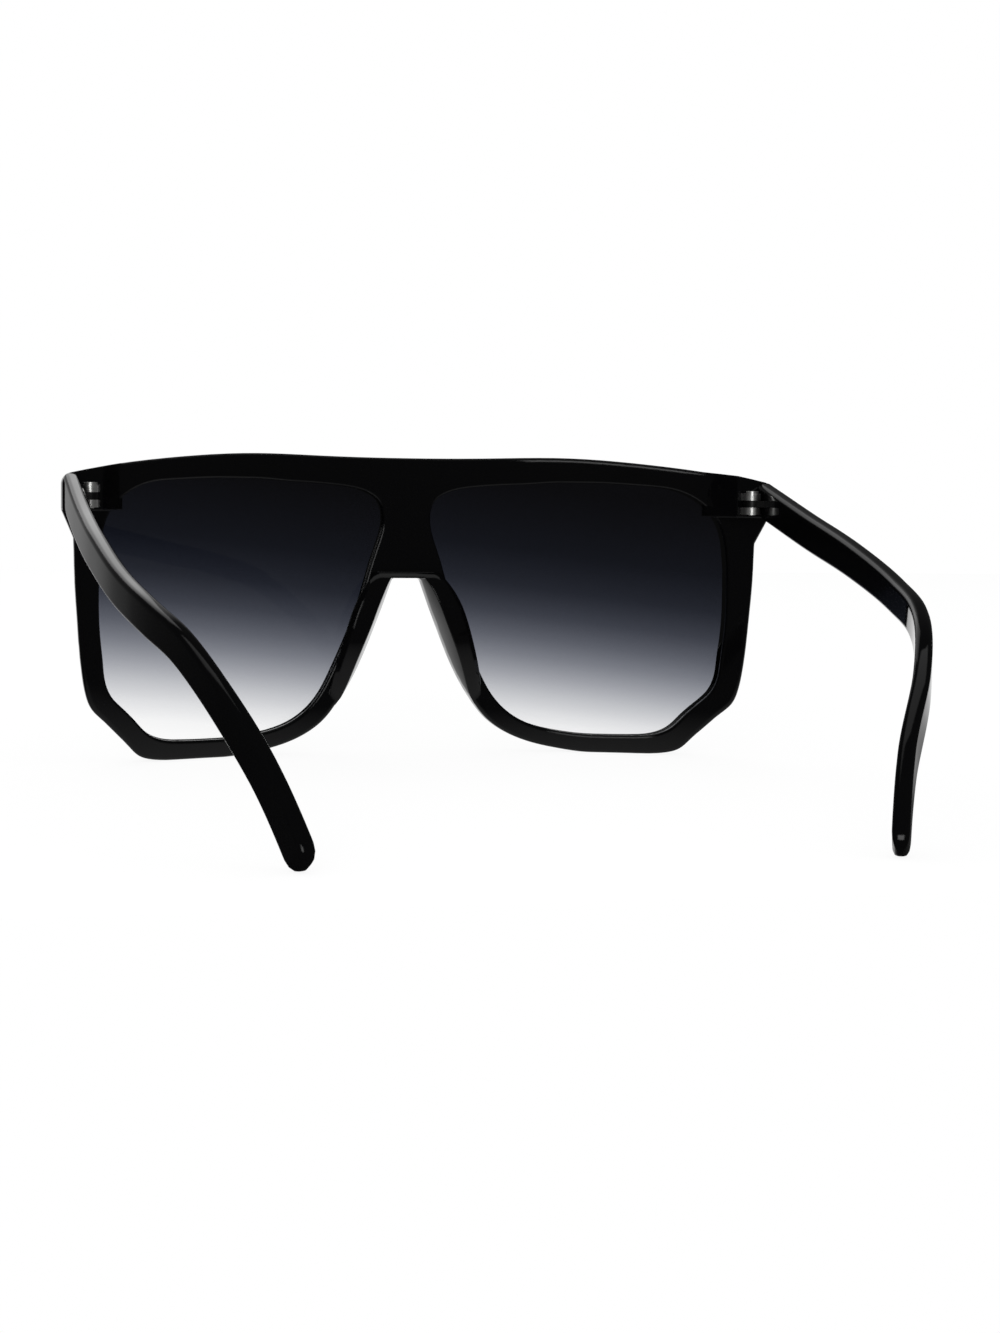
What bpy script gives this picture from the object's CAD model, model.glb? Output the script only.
import math

import bmesh
import bpy
from mathutils import Matrix, Vector


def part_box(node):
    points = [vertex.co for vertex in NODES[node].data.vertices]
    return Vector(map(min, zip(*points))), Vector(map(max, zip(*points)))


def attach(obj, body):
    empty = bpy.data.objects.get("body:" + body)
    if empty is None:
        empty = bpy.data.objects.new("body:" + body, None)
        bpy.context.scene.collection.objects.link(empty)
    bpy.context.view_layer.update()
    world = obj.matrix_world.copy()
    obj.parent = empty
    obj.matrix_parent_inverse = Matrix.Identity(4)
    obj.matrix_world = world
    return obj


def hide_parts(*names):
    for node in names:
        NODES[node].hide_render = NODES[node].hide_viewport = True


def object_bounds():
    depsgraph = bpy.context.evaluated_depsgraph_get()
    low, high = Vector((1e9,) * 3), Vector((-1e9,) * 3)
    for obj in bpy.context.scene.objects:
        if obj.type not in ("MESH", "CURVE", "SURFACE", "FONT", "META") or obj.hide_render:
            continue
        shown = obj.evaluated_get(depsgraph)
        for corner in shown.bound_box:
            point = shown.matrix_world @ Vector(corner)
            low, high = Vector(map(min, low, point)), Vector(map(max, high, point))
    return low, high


# Flat top sunglasses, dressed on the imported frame.
# X runs across the face with the wearer's left at plus X, the front faces minus Y, and Z is up.
# Lengths are in metres, or in millimetres times MM.

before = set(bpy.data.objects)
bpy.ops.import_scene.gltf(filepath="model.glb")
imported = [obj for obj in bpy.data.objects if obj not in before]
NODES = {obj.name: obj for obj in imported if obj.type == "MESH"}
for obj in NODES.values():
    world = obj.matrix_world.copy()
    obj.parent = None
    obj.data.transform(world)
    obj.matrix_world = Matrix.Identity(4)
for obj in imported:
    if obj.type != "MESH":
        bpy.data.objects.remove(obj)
cad_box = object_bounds()

bl_info = {
    "name": "Flat top sunglasses",
    "version": (1, 0, 0),
    "blender": (4, 5, 0),
    "location": "3D View > Sidebar > Sunglasses",
    "description": "Dresses the packed frame of a pair of flat top sunglasses",
    "category": "Object",
}

MM = 0.001

LENS_LOW, LENS_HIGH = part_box("left_lens")

# The front is wrapped round an upright axis: its radius at the rear face, its depth, and the
# axis' place
WRAP_RADIUS = 132.0 * MM
FRAME_DEPTH = 4.0 * MM
WRAP_CENTRE = Vector((0.0, cad_box[0].y + FRAME_DEPTH + WRAP_RADIUS, 0.0))

# The lenses' rear face lies this far in front of the rear face of the rims, and they are this deep
LENS_RECESS = 1.1 * MM
LENS_DEPTH = 2.0 * MM

# A face is part of the wrap's wall if its corners lie this near to the radius, and it faces along
# the radius by at least this share. LEVEL takes the height out of a distance.
ON_WRAP = 0.01 * MM
FACES_ALONG = 0.9
LEVEL = Vector((1.0, 1.0, 0.0))

# The share of light that the whole lens lets through at heights in millimetres, clear to dark,
# and the powers of that share for red, green and blue, which leave the tint a little blue
TINT_STOPS = (
    (6.0, 0.96),
    (10.0, 0.78),
    (14.0, 0.56),
    (18.0, 0.355),
    (22.0, 0.205),
    (26.0, 0.112),
    (31.0, 0.047),
    (37.0, 0.016),
    (45.0, 0.005),
)
TINT_POWERS = (1.0, 0.97, 0.88)

# Middle line of the arms from the butt to the tip: shares of the reach, of the inward sweep and
# of the drop
ARM_SHARES = (
    (0.0, 0.0, 0.0),
    (0.198, 0.016, 0.108),
    (0.396, 0.055, 0.202),
    (0.594, 0.149, 0.304),
    (0.713, 0.263, 0.3685),
    (0.792, 0.40, 0.4345),
    (0.861, 0.565, 0.554),
    (0.931, 0.812, 0.766),
    (1.0, 1.0, 1.0),
)

# Sections of the arms, evenly spaced up to the tip: shares of the thickness and the height
SECTION_SHARES = (
    (1.0, 1.0),
    (1.0, 0.995),
    (1.0, 0.985),
    (0.99, 0.97),
    (0.98, 0.935),
    (0.97, 0.90),
    (0.96, 0.865),
    (0.95, 0.84),
    (0.95, 0.81),
    (0.95, 0.78),
    (0.95, 0.755),
    (0.95, 0.765),
    (0.95, 0.78),
)

# The rounded tip: its share of the line, then the way to the end and the share of the size
TIP_SHARE = 0.02
TIP_STEPS = ((0.0, 1.0), (0.45, 0.91), (0.80, 0.66), (0.95, 0.36), (1.0, 0.14))

# Faces across the small rounding of the butt
BUTT_STEPS = 2

# Swirls on the plastic: the noise, the part of its values that is used, and the shares of the set
# roughness that they run between
SWIRL_NOISE = {"Scale": 140.0, "Detail": 3.0, "Roughness": 0.55}
SWIRL_VALUES = (0.3, 0.7)
SWIRL_SHARES = (0.7, 1.4)

# How many looks round a corner its shading takes
CORNER_SAMPLES = 6

# Fine marks on the metals: the noise, the shares of a metal's roughness that it runs between, and
# the roughness of the steel and of the dark plating
MARK_NOISE = {"Scale": 2500.0, "Detail": 4.0}
MARK_SHARES = (0.7, 1.3)
STEEL_ROUGHNESS = 0.3
DARK_ROUGHNESS = 0.35

# The lens as a mirror: the share of the light straight on, how steeply that rises with the slant,
# and the mirror's colour and roughness
LENS_MIRROR = 0.04
SLANT_POWER = 5.0
MIRROR_COLOUR = (0.95, 0.95, 0.95, 1.0)
MIRROR_ROUGHNESS = 0.02

# The white of the lights and the white of the table
WHITE = (1.0, 1.0, 1.0, 1.0)
TABLE_WHITE = (0.9, 0.9, 0.9, 1.0)

# How far to the wearer's left the table starts to fade out of what glossy faces show
TABLE_FADE_SIDE = 0.04

# What glossy faces show, by the direction that they look in, as parts of a unit step: the backdrop
# ends between two values of Y, and the room behind the camera takes over from the sides between
# two others
BACKDROP_END = (-0.95, -0.75)
ROOM_START = (-0.3, 0.3)

# How bright the backdrop is there by X, the part of that direction to the wearer's left, which is
# read from minus BACKDROP_REACH to plus BACKDROP_REACH
BACKDROP_REACH = 0.5
BACKDROP_STOPS = (
    (-0.36, 0.05),
    (-0.22, 0.28),
    (-0.10, 0.85),
    (-0.04, 0.85),
    (0.07, 0.27),
    (0.20, 0.20),
    (0.32, 0.10),
    (0.45, 0.03),
)

# Soft lamps: name, place, width, height and watts, and the point that they all face
SOFTBOXES = (
    ("front_softbox", (0.12, -1.0, 0.8), 0.5, 0.9, 1.0),
    ("overhead_softbox", (0.0, -0.1, 1.2), 1.0, 0.5, 1.2),
    ("rear_softbox", (0.45, 1.2, 0.45), 0.6, 0.6, 5.5),
)
LAMP_TARGET = Vector((0.0, 0.0, 0.03))

# The camera: its focal length and sensor in millimetres, how near and far it sees, where it
# stands, which way it looks, and how far it leans to one side
FOCAL_LENGTH = 64.266
SENSOR_WIDTH = 36.0
CLIP_RANGE = (0.01, 100.0)
EYE = Vector((102.373, 423.682, 56.584)) * MM
LOOK = Vector((-0.238285, -0.968388, -0.073793))
LEAN = math.radians(0.778)


# Sizes and colours that a user would change
class ArmSettings(bpy.types.PropertyGroup):
    thickness: bpy.props.FloatProperty(
        name="Thickness",
        description="Thickness of the arm at its butt",
        default=3.1 * MM,
        min=0,
        unit="LENGTH",
        precision=5,
    )
    height: bpy.props.FloatProperty(
        name="Height",
        description="Height of the arm at its butt",
        default=7.2 * MM,
        min=0,
        unit="LENGTH",
        precision=5,
    )
    reach: bpy.props.FloatProperty(
        name="Reach",
        description="Distance from the butt back to the middle of the tip",
        default=134.5 * MM,
        min=0,
        unit="LENGTH",
        precision=5,
    )
    sweep_in: bpy.props.FloatProperty(
        name="Inward sweep",
        description="How far the arm comes inwards from the butt to the tip",
        default=25.5 * MM,
        unit="LENGTH",
        precision=5,
    )
    tip_height: bpy.props.FloatProperty(
        name="Tip height",
        description="Height of the end of the middle line over the table",
        default=0.76 * MM,
        unit="LENGTH",
        precision=5,
    )
    square_run: bpy.props.FloatProperty(
        name="Square run",
        description="Share of the arm over which its sections turn from the flat butt to the line",
        default=0.08,
        min=0,
        max=1,
        subtype="FACTOR",
    )
    edge_round: bpy.props.FloatProperty(
        name="Edge rounding",
        description="Radius of the arm's long edges",
        default=1.1 * MM,
        min=0,
        unit="LENGTH",
        precision=5,
    )
    butt_break: bpy.props.FloatProperty(
        name="Butt break",
        description="Small rounding round the face that meets the front",
        default=0.2 * MM,
        min=0,
        unit="LENGTH",
        precision=5,
    )
    edge_steps: bpy.props.IntProperty(
        name="Edge steps",
        description="Faces across each rounded edge",
        default=6,
        min=1,
    )
    length_steps: bpy.props.IntProperty(
        name="Length steps",
        description="Faces along the arm",
        default=72,
        min=8,
    )
    tip_crowding: bpy.props.FloatProperty(
        name="Tip crowding",
        description="How much closer together the faces lie towards the tip",
        default=1.7,
        min=1,
    )


class PlasticSettings(bpy.types.PropertyGroup):
    colour: bpy.props.FloatVectorProperty(
        name="Colour",
        description="Colour of the moulded plastic",
        default=(0.0015, 0.0015, 0.0017),
        size=3,
        min=0,
        max=1,
        subtype="COLOR",
    )
    roughness: bpy.props.FloatProperty(
        name="Roughness",
        description="Roughness of the polished plastic",
        default=0.045,
        min=0,
        max=1,
        subtype="FACTOR",
    )
    shine: bpy.props.FloatProperty(
        name="Shine",
        description="How much the plastic mirrors when it is seen straight on",
        default=0.2,
        min=0,
        max=1,
        subtype="FACTOR",
    )
    corner_round: bpy.props.FloatProperty(
        name="Corner round",
        description="How far the shading rounds the corners of the mouldings",
        default=0.5 * MM,
        min=0,
        unit="LENGTH",
        precision=5,
    )
    weld_distance: bpy.props.FloatProperty(
        name="Weld distance",
        description="Distance within which points of a copied moulding are joined",
        default=0.002 * MM,
        min=0,
        unit="LENGTH",
        precision=6,
    )
    sharp_angle: bpy.props.FloatProperty(
        name="Sharp angle",
        description="Edges that turn by more than this stay sharp",
        default=math.radians(35),
        subtype="ANGLE",
    )


class LensSettings(bpy.types.PropertyGroup):
    dark: bpy.props.FloatVectorProperty(
        name="Upper tint",
        description="What one face of the lens lets through at the top",
        default=(0.035, 0.035, 0.045),
        size=3,
        min=0,
        max=1,
        subtype="COLOR",
    )
    clear: bpy.props.FloatVectorProperty(
        name="Lower tint",
        description="What one face of the lens lets through at the bottom",
        default=(1.0, 1.0, 1.0),
        size=3,
        min=0,
        max=1,
        subtype="COLOR",
    )
    tilt: bpy.props.FloatProperty(
        name="Tint tilt",
        description="How far the tint runs down across the lens, per width",
        default=0.125,
    )
    tilt_centre: bpy.props.FloatProperty(
        name="Tilt centre",
        description="Distance from the middle of the face at which the tilt takes nothing",
        default=26.4 * MM,
        unit="LENGTH",
    )
    tint_rise: bpy.props.FloatProperty(
        name="Tint rise",
        description="How much lower the tint starts on both lenses",
        default=1.2 * MM,
        unit="LENGTH",
    )


class HingeSettings(bpy.types.PropertyGroup):
    steel: bpy.props.FloatVectorProperty(
        name="Steel",
        description="Colour of the frame leaves and the screws",
        default=(0.82, 0.82, 0.80),
        size=3,
        min=0,
        max=1,
        subtype="COLOR",
    )
    dark: bpy.props.FloatVectorProperty(
        name="Dark plating",
        description="Colour of the temple leaves",
        default=(0.03, 0.03, 0.03),
        size=3,
        min=0,
        max=1,
        subtype="COLOR",
    )


class StageSettings(bpy.types.PropertyGroup):
    table_low: bpy.props.FloatVectorProperty(
        name="Table corner, low",
        description="Corner of the white table at its lowest X and Y",
        default=(-0.7, -1.2),
        size=2,
        unit="LENGTH",
    )
    table_high: bpy.props.FloatVectorProperty(
        name="Table corner, high",
        description="Corner of the white table at its highest X and Y",
        default=(0.11, 0.11),
        size=2,
        unit="LENGTH",
    )
    floor_level: bpy.props.FloatProperty(
        name="Floor level",
        description="Brightness of the part of the table that no shadow reaches",
        default=1.05,
        min=0,
    )
    room_level: bpy.props.FloatProperty(
        name="Room level",
        description="Brightness that glossy faces show of the room behind the camera",
        default=0.07,
        min=0,
    )
    soft_level: bpy.props.FloatProperty(
        name="Soft level",
        description="Strength of the soft light that comes from all round",
        default=0.65,
        min=0,
    )
    side_level: bpy.props.FloatProperty(
        name="Side level",
        description="Brightness that glossy faces show of what lies beside the backdrop",
        default=0.04,
        min=0,
    )
    mirror_start: bpy.props.FloatProperty(
        name="Mirror start",
        description="How far towards the ear tips the whole white table shows in glossy faces",
        default=-0.1,
        unit="LENGTH",
    )
    mirror_end: bpy.props.FloatProperty(
        name="Mirror end",
        description="How far towards the ear tips it still shows a little",
        default=0.02,
        unit="LENGTH",
    )
    shadow_share: bpy.props.FloatProperty(
        name="Shadow share",
        description="How much of the table's look comes from the lamps",
        default=0.15,
        min=0,
        max=1,
        subtype="FACTOR",
    )


class SunglassesSettings(bpy.types.PropertyGroup):
    arm: bpy.props.PointerProperty(type=ArmSettings)
    plastic: bpy.props.PointerProperty(type=PlasticSettings)
    lens: bpy.props.PointerProperty(type=LensSettings)
    hinge: bpy.props.PointerProperty(type=HingeSettings)
    stage: bpy.props.PointerProperty(type=StageSettings)


# Materials and nodes
def new_material(name):
    """An empty node material, with its output node."""
    material = bpy.data.materials.new(name)
    material.use_nodes = True
    material.node_tree.nodes.clear()
    output = material.node_tree.nodes.new("ShaderNodeOutputMaterial")
    return material, material.node_tree, output


def add_node(tree, kind, values=None, **settings):
    """A node with the given settings and socket values."""
    node = tree.nodes.new(kind)
    for key, value in settings.items():
        setattr(node, key, value)
    for socket, value in (values or {}).items():
        node.inputs[socket].default_value = value
    return node


def map_range(tree, values, results=(0.0, 1.0)):
    """A node that turns one range of values into another, and keeps to it."""
    limits = {"From Min": values[0], "From Max": values[1], "To Min": results[0], "To Max": results[1]}
    return add_node(tree, "ShaderNodeMapRange", limits)


def opaque(colour):
    """A colour with its fourth number."""
    return (*colour, 1.0)


# Shapes of the pieces
def add_piece(mesh):
    """An object at the origin for a finished mesh."""
    piece = bpy.data.objects.new(mesh.name, mesh)
    bpy.context.scene.collection.objects.link(piece)
    return piece


def smooth_all(shape, settings):
    """Smooth shading everywhere but on real corners."""
    for face in shape.faces:
        face.smooth = True
    for edge in shape.edges:
        edge.smooth = edge.calc_face_angle(math.pi) < settings.sharp_angle


def even_shading(piece):
    """Lets the large faces rule the shading, so that flats look flat."""
    weighted = piece.modifiers.new("even shading", "WEIGHTED_NORMAL")
    weighted.keep_sharp = True


def wrap_shading(mesh, radii, settings):
    """Shades the faces that follow the wrap of the front as parts of one round wall."""
    outward = {}
    for face in mesh.polygons:
        spokes = [(mesh.vertices[index].co - WRAP_CENTRE) * LEVEL for index in face.vertices]
        reach = [spoke.length for spoke in spokes]
        off_wrap = min(abs(reach[0] - radius) for radius in radii)
        if max(reach) - min(reach) > ON_WRAP or off_wrap > ON_WRAP:
            continue
        facing = face.normal.dot(spokes[0].normalized())
        if abs(facing) > FACES_ALONG:
            for index, spoke in zip(face.vertices, spokes):
                outward[index] = spoke.normalized() * math.copysign(1.0, facing)
    bend = math.cos(settings.sharp_angle)
    by_face = Vector((0.0, 0.0, 0.0))
    normals = []
    for face in mesh.polygons:
        for index in face.vertices:
            turn = outward.get(index)
            normals.append(turn if turn and face.normal.dot(turn) > bend else by_face)
    mesh.normals_split_custom_set(normals)


def welded_copy(node_name, piece_name, settings, radii):
    """A copy of a CAD node of the wrapped front as one joined surface, shaded as a round wall."""
    mesh = NODES[node_name].data.copy()
    mesh.name = piece_name
    shape = bmesh.new()
    shape.from_mesh(mesh)
    bmesh.ops.remove_doubles(shape, verts=shape.verts, dist=settings.weld_distance)
    bmesh.ops.dissolve_degenerate(shape, edges=shape.edges, dist=settings.weld_distance)
    bmesh.ops.recalc_face_normals(shape, faces=shape.faces)
    smooth_all(shape, settings)
    mesh.clear_geometry()
    shape.to_mesh(mesh)
    shape.free()
    wrap_shading(mesh, radii, settings)
    return add_piece(mesh)


def arm_line(settings):
    """The left arm's middle line: its points, how far along it each lies, and the slopes there."""
    low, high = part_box("left_temple")
    start = Vector((high.x - settings.thickness / 2, low.y, high.z - settings.height / 2))
    drop_all = start.z - settings.tip_height
    points = [
        start + Vector((-settings.sweep_in * sweep, settings.reach * along, -drop_all * drop))
        for along, sweep, drop in ARM_SHARES
    ]
    spans = [there - here for here, there in zip(points, points[1:])]
    lengths = [span.length for span in spans]
    knots = [sum(lengths[:step]) / sum(lengths) for step in range(len(points))]
    gaps = [there - here for here, there in zip(knots, knots[1:])]
    rises = [span / gap for span, gap in zip(spans, gaps)]
    slopes = [
        (before * next_gap + after * gap) / (gap + next_gap)
        for before, after, gap, next_gap in zip(rises, rises[1:], gaps, gaps[1:])
    ]
    slopes = [(3 * rises[0] - slopes[0]) / 2, *slopes, (3 * rises[-1] - slopes[-1]) / 2]
    return points, knots, slopes


def arm_place(line, share, square_run):
    """A point of the arm's middle line, and the way the arm faces there."""
    points, knots, slopes = line
    step = max(index for index, knot in enumerate(knots[:-1]) if knot <= share)
    gap = knots[step + 1] - knots[step]
    along = (share - knots[step]) / gap
    here, there = points[step], points[step + 1]
    leave, arrive = slopes[step] * gap, slopes[step + 1] * gap
    bend = 3 * (there - here) - 2 * leave - arrive
    twist = leave + arrive - 2 * (there - here)
    point = here + along * (leave + along * (bend + along * twist))
    ahead = (leave + along * (2 * bend + along * 3 * twist)).normalized()
    if share < square_run:
        ahead = Vector((0.0, 1.0, 0.0)).lerp(ahead, share / square_run).normalized()
    return point, ahead


def arm_size(share):
    """Shares of the arm's thickness and height at a place along it."""
    body = 1.0 - TIP_SHARE
    if share < body:
        place = share / body * (len(SECTION_SHARES) - 1)
        step = int(place)
        return Vector(SECTION_SHARES[step]).lerp(Vector(SECTION_SHARES[step + 1]), place - step)
    way = min((share - body) / TIP_SHARE, 1.0)
    for (start, big), (end, small) in zip(TIP_STEPS, TIP_STEPS[1:]):
        if way <= end:
            size = big + (small - big) * (way - start) / (end - start)
            return Vector(SECTION_SHARES[-1]) * size


def lengthwise_edges(shape):
    """Edges that still run from one end of the bar to the other."""
    return [edge for edge in shape.edges if abs(edge.verts[0].co.y - edge.verts[1].co.y) > 0.5]


def arm_shape(settings, side):
    """A bar with rounded edges, drawn out along the arm's line and shaped to its sections."""
    shape = bmesh.new()
    bmesh.ops.create_cube(shape, size=1.0)
    bmesh.ops.translate(shape, verts=shape.verts, vec=(0.0, 0.5, 0.0))
    bmesh.ops.scale(shape, verts=shape.verts, vec=(settings.thickness, 1.0, settings.height))
    bmesh.ops.bevel(
        shape,
        geom=lengthwise_edges(shape),
        offset=settings.edge_round,
        affect="EDGES",
        segments=settings.edge_steps,
        profile=0.5,
        material=-1,
    )
    bmesh.ops.subdivide_edges(
        shape,
        edges=lengthwise_edges(shape),
        cuts=settings.length_steps - 1,
        use_grid_fill=True,
    )
    line = arm_line(settings)
    for vert in shape.verts:
        share = 1.0 - min(max(1.0 - vert.co.y, 0.0), 1.0) ** settings.tip_crowding
        point, ahead = arm_place(line, share, settings.square_run)
        across = Vector((ahead.y, -ahead.x, 0.0)).normalized()
        thick, high = arm_size(share)
        vert.co = point + across * vert.co.x * thick + across.cross(ahead) * vert.co.z * high
    butt = min(shape.faces, key=lambda face: face.calc_center_median().y)
    bmesh.ops.bevel(
        shape,
        geom=list(butt.edges),
        offset=settings.butt_break,
        affect="EDGES",
        segments=BUTT_STEPS,
        profile=0.5,
        material=-1,
    )
    bmesh.ops.scale(shape, verts=shape.verts, vec=(side, 1.0, 1.0))
    bmesh.ops.recalc_face_normals(shape, faces=shape.faces)
    return shape


# Finishes
def dress(piece, material):
    """Gives a piece one material."""
    piece.data.materials.clear()
    piece.data.materials.append(material)


def plastic_material(settings):
    """Polished black plastic with softened corners and faint swirls from the polishing wheel."""
    material, tree, output = new_material("polished_plastic")
    link = tree.links.new
    place = add_node(tree, "ShaderNodeTexCoord")
    swirl = add_node(tree, "ShaderNodeTexNoise", SWIRL_NOISE)
    gloss = map_range(tree, SWIRL_VALUES, [settings.roughness * share for share in SWIRL_SHARES])
    shader = add_node(
        tree,
        "ShaderNodeBsdfPrincipled",
        {"Base Color": opaque(settings.colour), "IOR": 1.5, "Specular IOR Level": settings.shine},
    )
    radius = {"Radius": settings.corner_round}
    corners = add_node(tree, "ShaderNodeBevel", radius, samples=CORNER_SAMPLES)
    link(place.outputs["Object"], swirl.inputs["Vector"])
    link(swirl.outputs["Fac"], gloss.inputs["Value"])
    link(gloss.outputs["Result"], shader.inputs["Roughness"])
    link(corners.outputs["Normal"], shader.inputs["Normal"])
    link(shader.outputs["BSDF"], output.inputs["Surface"])
    return material


def lens_material(settings):
    """Tinted lens, dark at the top and fading to clear at the bottom, with a glossy surface."""
    material, tree, output = new_material("graded_lens")
    link = tree.links.new
    place = add_node(tree, "ShaderNodeTexCoord")
    parts = add_node(tree, "ShaderNodeSeparateXYZ")
    side = add_node(tree, "ShaderNodeMath", operation="SIGN")
    shift = {1: settings.tilt * settings.tilt_centre, 2: settings.tint_rise}
    centre = add_node(tree, "ShaderNodeMath", shift, operation="MULTIPLY_ADD")
    slope = add_node(tree, "ShaderNodeMath", {1: -settings.tilt}, operation="MULTIPLY_ADD")
    level = add_node(tree, "ShaderNodeMath", operation="ADD")
    height = map_range(tree, (LENS_LOW.z, LENS_HIGH.z))
    ramp = add_node(tree, "ShaderNodeValToRGB")
    elements = ramp.color_ramp.elements
    elements[0].position, elements[0].color = 0.0, opaque(settings.clear)
    elements[1].position, elements[1].color = 1.0, opaque(settings.dark)
    for height_mm, through in TINT_STOPS:
        position = (height_mm * MM - LENS_LOW.z) / (LENS_HIGH.z - LENS_LOW.z)
        one_face = [math.sqrt(through**power) for power in TINT_POWERS]
        elements.new(position).color = opaque(one_face)
    see = add_node(tree, "ShaderNodeBsdfTransparent")
    gloss = add_node(
        tree,
        "ShaderNodeBsdfPrincipled",
        {"Base Color": MIRROR_COLOUR, "Metallic": 1.0, "Roughness": MIRROR_ROUGHNESS},
    )
    slant = add_node(tree, "ShaderNodeLayerWeight", {"Blend": 0.5})
    steep = add_node(tree, "ShaderNodeMath", {1: SLANT_POWER}, operation="POWER")
    rise = {1: 1.0 - LENS_MIRROR, 2: LENS_MIRROR}
    shine = add_node(tree, "ShaderNodeMath", rise, operation="MULTIPLY_ADD")
    mix = add_node(tree, "ShaderNodeMixShader")
    link(place.outputs["Object"], parts.inputs["Vector"])
    link(parts.outputs["X"], side.inputs[0])
    link(side.outputs["Value"], centre.inputs[0])
    link(parts.outputs["X"], slope.inputs[0])
    link(centre.outputs["Value"], slope.inputs[2])
    link(slope.outputs["Value"], level.inputs[0])
    link(parts.outputs["Z"], level.inputs[1])
    link(level.outputs["Value"], height.inputs["Value"])
    link(height.outputs["Result"], ramp.inputs["Fac"])
    link(ramp.outputs["Color"], see.inputs["Color"])
    link(slant.outputs["Facing"], steep.inputs[0])
    link(steep.outputs["Value"], shine.inputs[0])
    link(shine.outputs["Value"], mix.inputs["Fac"])
    link(see.outputs["BSDF"], mix.inputs[1])
    link(gloss.outputs["BSDF"], mix.inputs[2])
    link(mix.outputs["Shader"], output.inputs["Surface"])
    return material


def metal_material(name, colour, roughness):
    """Turned or stamped metal with fine marks."""
    material, tree, output = new_material(name)
    link = tree.links.new
    place = add_node(tree, "ShaderNodeTexCoord")
    marks = add_node(tree, "ShaderNodeTexNoise", MARK_NOISE)
    gloss = map_range(tree, (0.0, 1.0), [roughness * share for share in MARK_SHARES])
    finish = {"Base Color": opaque(colour), "Metallic": 1.0}
    shader = add_node(tree, "ShaderNodeBsdfPrincipled", finish)
    link(place.outputs["Object"], marks.inputs["Vector"])
    link(marks.outputs["Fac"], gloss.inputs["Value"])
    link(gloss.outputs["Result"], shader.inputs["Roughness"])
    link(shader.outputs["BSDF"], output.inputs["Surface"])
    return material


# Table, surroundings, lamps and camera
def background_rays(tree, path):
    """1 for what the camera sees, straight, in glossy faces or through a clear one."""
    total = path.outputs["Is Camera Ray"]
    for name in ("Is Glossy Ray", "Is Transmission Ray"):
        add = add_node(tree, "ShaderNodeMath", operation="MAXIMUM")
        tree.links.new(total, add.inputs[0])
        tree.links.new(path.outputs[name], add.inputs[1])
        total = add.outputs["Value"]
    return total


def make_floor(settings):
    """A white table top with a soft shadow. Glossy faces show it fading out at two of its sides."""
    low, high = Vector(settings.table_low).to_3d(), Vector(settings.table_high).to_3d()
    shape = bmesh.new()
    bmesh.ops.create_grid(shape, x_segments=1, y_segments=1, size=0.5)
    bmesh.ops.scale(shape, verts=shape.verts, vec=high - low + Vector((0, 0, 1)))
    bmesh.ops.translate(shape, verts=shape.verts, vec=(low + high) / 2)
    mesh = bpy.data.meshes.new("table_top")
    shape.to_mesh(mesh)
    shape.free()
    floor = add_piece(mesh)
    material, tree, output = new_material("white_table")
    link = tree.links.new
    lit = add_node(tree, "ShaderNodeBsdfDiffuse", {"Color": TABLE_WHITE})
    white = add_node(tree, "ShaderNodeEmission", {"Color": WHITE, "Strength": settings.floor_level})
    share = add_node(tree, "ShaderNodeMixShader", {"Fac": settings.shadow_share})
    choose = add_node(tree, "ShaderNodeMixShader")
    rear_fade = map_range(tree, (settings.mirror_start, settings.mirror_end))
    side_fade = map_range(tree, (TABLE_FADE_SIDE, settings.table_high[0]))
    place = add_node(tree, "ShaderNodeTexCoord")
    parts = add_node(tree, "ShaderNodeSeparateXYZ")
    path = add_node(tree, "ShaderNodeLightPath")
    faded = add_node(tree, "ShaderNodeMath", operation="MAXIMUM")
    gone = add_node(tree, "ShaderNodeMath", operation="MULTIPLY")
    clear = add_node(tree, "ShaderNodeBsdfTransparent")
    fade = add_node(tree, "ShaderNodeMixShader")
    link(white.outputs["Emission"], share.inputs[1])
    link(lit.outputs["BSDF"], share.inputs[2])
    link(background_rays(tree, path), choose.inputs["Fac"])
    link(lit.outputs["BSDF"], choose.inputs[1])
    link(share.outputs["Shader"], choose.inputs[2])
    link(place.outputs["Object"], parts.inputs["Vector"])
    link(parts.outputs["Y"], rear_fade.inputs["Value"])
    link(parts.outputs["X"], side_fade.inputs["Value"])
    link(rear_fade.outputs["Result"], faded.inputs[0])
    link(side_fade.outputs["Result"], faded.inputs[1])
    link(faded.outputs["Value"], gone.inputs[0])
    link(path.outputs["Is Glossy Ray"], gone.inputs[1])
    link(gone.outputs["Value"], fade.inputs["Fac"])
    link(choose.outputs["Shader"], fade.inputs[1])
    link(clear.outputs["BSDF"], fade.inputs[2])
    link(fade.outputs["Shader"], output.inputs["Surface"])
    dress(floor, material)


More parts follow.
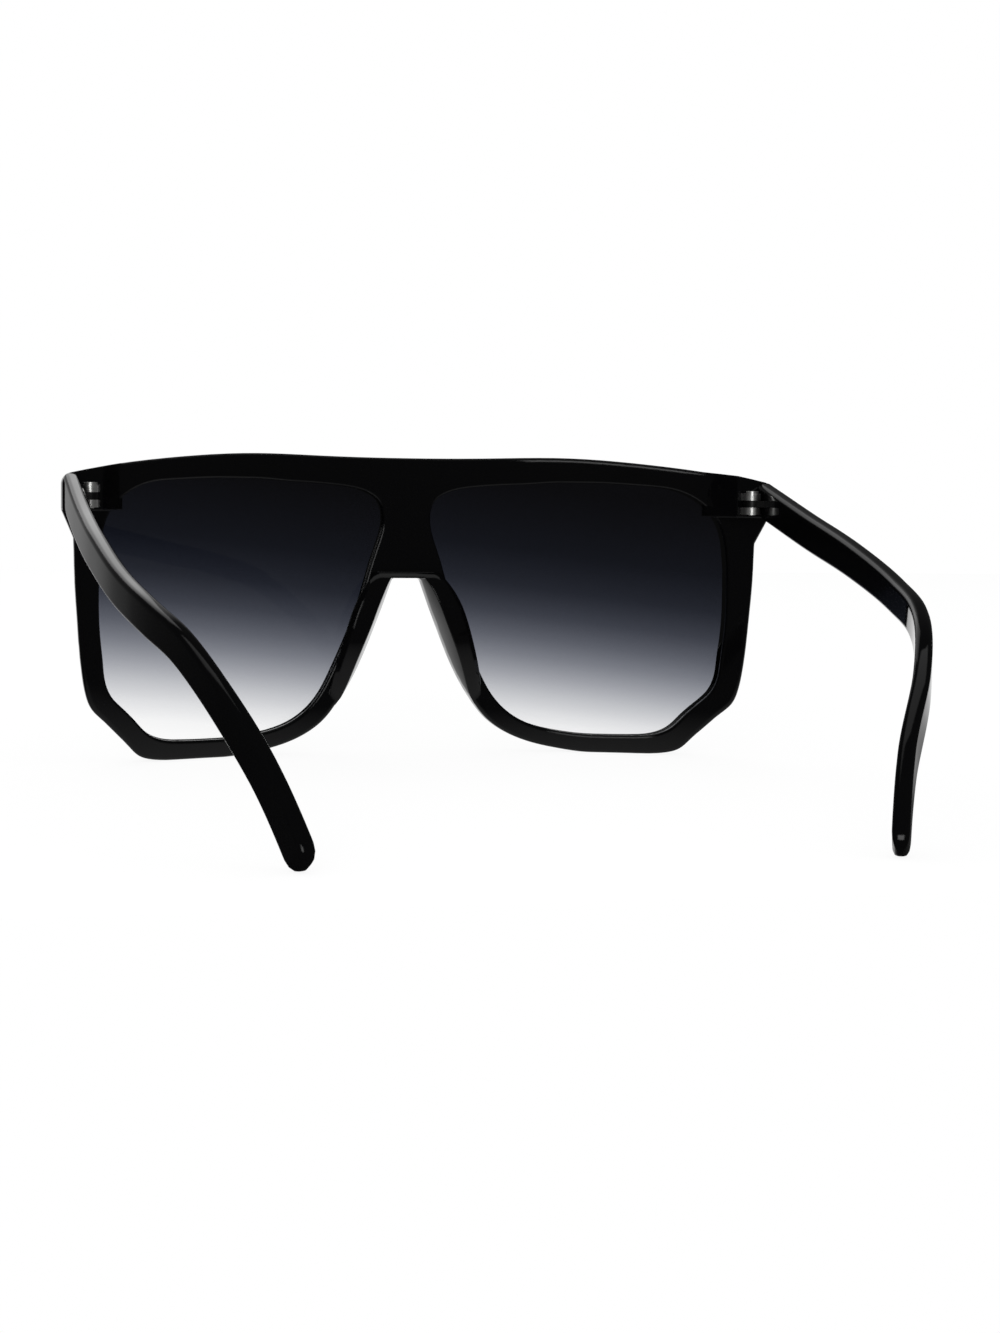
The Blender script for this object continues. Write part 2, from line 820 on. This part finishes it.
def make_world(settings):
    """A white surround. Glossy faces show its backdrop straight ahead and a dim room elsewhere."""
    world = bpy.data.worlds.new("studio")
    bpy.context.scene.world = world
    world.use_nodes = True
    tree = world.node_tree
    tree.nodes.clear()
    link = tree.links.new
    output = add_node(tree, "ShaderNodeOutputWorld")
    path = add_node(tree, "ShaderNodeLightPath")
    place = add_node(tree, "ShaderNodeTexCoord")
    parts = add_node(tree, "ShaderNodeSeparateXYZ")
    dim = map_range(tree, ROOM_START, (settings.side_level, settings.room_level))
    across = map_range(tree, (-BACKDROP_REACH, BACKDROP_REACH))
    ramp = add_node(tree, "ShaderNodeValToRGB")
    elements = ramp.color_ramp.elements
    elements[0].position, elements[0].color = 0.0, opaque([BACKDROP_STOPS[0][1]] * 3)
    elements[1].position, elements[1].color = 1.0, opaque([BACKDROP_STOPS[-1][1]] * 3)
    for spot, share in BACKDROP_STOPS:
        elements.new((spot + BACKDROP_REACH) / (2 * BACKDROP_REACH)).color = opaque([share] * 3)
    ahead = map_range(tree, BACKDROP_END, (1.0, 0.0))
    shown = add_node(tree, "ShaderNodeMath", operation="MULTIPLY")
    hidden = add_node(tree, "ShaderNodeMath", {0: 1.0}, operation="SUBTRACT")
    turned = add_node(tree, "ShaderNodeMath", operation="MULTIPLY")
    room = add_node(tree, "ShaderNodeBackground", {"Color": WHITE})
    white = add_node(tree, "ShaderNodeBackground", {"Color": WHITE, "Strength": 1.0})
    soft = add_node(tree, "ShaderNodeBackground", {"Color": WHITE, "Strength": settings.soft_level})
    choose = add_node(tree, "ShaderNodeMixShader")
    light = add_node(tree, "ShaderNodeMixShader")
    link(place.outputs["Generated"], parts.inputs["Vector"])
    link(parts.outputs["X"], across.inputs["Value"])
    link(parts.outputs["Y"], ahead.inputs["Value"])
    link(parts.outputs["Y"], dim.inputs["Value"])
    link(across.outputs["Result"], ramp.inputs["Fac"])
    link(ramp.outputs["Color"], shown.inputs[0])
    link(ahead.outputs["Result"], shown.inputs[1])
    link(shown.outputs["Value"], hidden.inputs[1])
    link(hidden.outputs["Value"], turned.inputs[0])
    link(path.outputs["Is Glossy Ray"], turned.inputs[1])
    link(turned.outputs["Value"], choose.inputs["Fac"])
    link(dim.outputs["Result"], room.inputs["Strength"])
    link(white.outputs["Background"], choose.inputs[1])
    link(room.outputs["Background"], choose.inputs[2])
    link(background_rays(tree, path), light.inputs["Fac"])
    link(soft.outputs["Background"], light.inputs[1])
    link(choose.outputs["Shader"], light.inputs[2])
    link(light.outputs["Shader"], output.inputs["Surface"])


def make_lamps():
    """Soft lamps high up in front of the glasses, over them and behind the camera."""
    for name, place, width, height, power in SOFTBOXES:
        light = bpy.data.lights.new(name, "AREA")
        light.shape = "RECTANGLE"
        light.size = width
        light.size_y = height
        light.energy = power
        lamp = bpy.data.objects.new(name, light)
        lamp.location = place
        aim = LAMP_TARGET - lamp.location
        lamp.rotation_euler = aim.to_track_quat("-Z", "Y").to_euler()
        bpy.context.scene.collection.objects.link(lamp)


def make_camera():
    """The camera where the photo was taken from: behind and a little above the glasses."""
    data = bpy.data.cameras.new("camera")
    data.sensor_width = SENSOR_WIDTH
    data.lens = FOCAL_LENGTH
    data.clip_start, data.clip_end = CLIP_RANGE
    camera = bpy.data.objects.new("camera", data)
    ahead = LOOK.normalized()
    right = ahead.cross(Vector((0.0, 0.0, 1.0))).normalized()
    up = right.cross(ahead)
    right_leant = right * math.cos(LEAN) + up * math.sin(LEAN)
    up_leant = up * math.cos(LEAN) - right * math.sin(LEAN)
    turn = Matrix((right_leant, up_leant, -ahead)).transposed().to_4x4()
    camera.matrix_world = Matrix.Translation(EYE) @ turn
    bpy.context.scene.collection.objects.link(camera)
    bpy.context.scene.camera = camera


# One step for each group of pieces, and one for the stage
class SUNGLASSES_OT_front(bpy.types.Operator):
    """Make the front moulding"""

    bl_idname = "sunglasses.front"
    bl_label = "Front"

    def execute(self, context):
        settings = context.scene.sunglasses.plastic
        radii = (WRAP_RADIUS, WRAP_RADIUS + FRAME_DEPTH)
        piece = welded_copy("front_frame", "front_moulding", settings, radii)
        dress(piece, plastic_material(settings))
        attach(piece, "front")
        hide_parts("front_frame")
        return {"FINISHED"}


class SUNGLASSES_OT_arms(bpy.types.Operator):
    """Make the two arms, with their ear hooks"""

    bl_idname = "sunglasses.arms"
    bl_label = "Arms"

    def execute(self, context):
        settings = context.scene.sunglasses
        for side, turn in (("left", 1.0), ("right", -1.0)):
            mesh = bpy.data.meshes.new(f"{side}_arm_moulding")
            shape = arm_shape(settings.arm, turn)
            smooth_all(shape, settings.plastic)
            shape.to_mesh(mesh)
            shape.free()
            piece = add_piece(mesh)
            even_shading(piece)
            dress(piece, bpy.data.materials["polished_plastic"])
            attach(piece, f"{side}_arm")
            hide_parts(f"{side}_temple")
        return {"FINISHED"}


class SUNGLASSES_OT_lenses(bpy.types.Operator):
    """Make the two lenses"""

    bl_idname = "sunglasses.lenses"
    bl_label = "Lenses"

    def execute(self, context):
        settings = context.scene.sunglasses
        material = lens_material(settings.lens)
        rear = WRAP_RADIUS + LENS_RECESS
        radii = (rear, rear + LENS_DEPTH)
        for side in ("left", "right"):
            piece = welded_copy(f"{side}_lens", f"{side}_tinted_lens", settings.plastic, radii)
            dress(piece, material)
            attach(piece, "front")
            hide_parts(f"{side}_lens")
        return {"FINISHED"}


class SUNGLASSES_OT_hinges(bpy.types.Operator):
    """Finish the hinge leaves and their screws"""

    bl_idname = "sunglasses.hinges"
    bl_label = "Hinges"

    def execute(self, context):
        settings = context.scene.sunglasses.hinge
        steel = metal_material("hinge_steel", settings.steel, STEEL_ROUGHNESS)
        dark = metal_material("hinge_dark", settings.dark, DARK_ROUGHNESS)
        screw = metal_material("screw_steel", settings.steel, STEEL_ROUGHNESS)
        for side in ("left", "right"):
            dress(NODES[f"{side}_frame_hinge"], steel)
            dress(NODES[f"{side}_temple_hinge"], dark)
            dress(NODES[f"{side}_hinge_screw"], screw)
        return {"FINISHED"}


class SUNGLASSES_OT_stage(bpy.types.Operator):
    """Make the floor, the lamps, the surroundings and the camera"""

    bl_idname = "sunglasses.stage"
    bl_label = "Stage"

    def execute(self, context):
        settings = context.scene.sunglasses.stage
        make_floor(settings)
        make_world(settings)
        make_lamps()
        make_camera()
        context.scene.view_settings.view_transform = "Standard"
        return {"FINISHED"}


class SUNGLASSES_PT_panel(bpy.types.Panel):
    bl_label = "Sunglasses"
    bl_idname = "SUNGLASSES_PT_panel"
    bl_space_type = "VIEW_3D"
    bl_region_type = "UI"
    bl_category = "Sunglasses"

    def draw(self, context):
        layout = self.layout
        settings = context.scene.sunglasses
        for name in ("arm", "plastic", "lens", "hinge", "stage"):
            box = layout.box()
            group = getattr(settings, name)
            for key in group.bl_rna.properties.keys():
                if key not in ("rna_type", "name"):
                    box.prop(group, key)
        for step in STEPS:
            layout.operator(step.bl_idname)


STEPS = (
    SUNGLASSES_OT_front,
    SUNGLASSES_OT_arms,
    SUNGLASSES_OT_lenses,
    SUNGLASSES_OT_hinges,
    SUNGLASSES_OT_stage,
)

CLASSES = (
    ArmSettings,
    PlasticSettings,
    LensSettings,
    HingeSettings,
    StageSettings,
    SunglassesSettings,
    *STEPS,
    SUNGLASSES_PT_panel,
)


def register():
    for item in CLASSES:
        bpy.utils.register_class(item)
    bpy.types.Scene.sunglasses = bpy.props.PointerProperty(type=SunglassesSettings)


def unregister():
    del bpy.types.Scene.sunglasses
    for item in reversed(CLASSES):
        bpy.utils.unregister_class(item)


def main():
    """Runs every step and notes the sizes of the CAD model and the dressed one."""
    register()
    bpy.ops.sunglasses.front()
    bpy.ops.sunglasses.arms()
    bpy.ops.sunglasses.lenses()
    bpy.ops.sunglasses.hinges()
    bpy.ops.sunglasses.stage()
    bpy.context.view_layer.update()


if __name__ == "__main__":
    main()
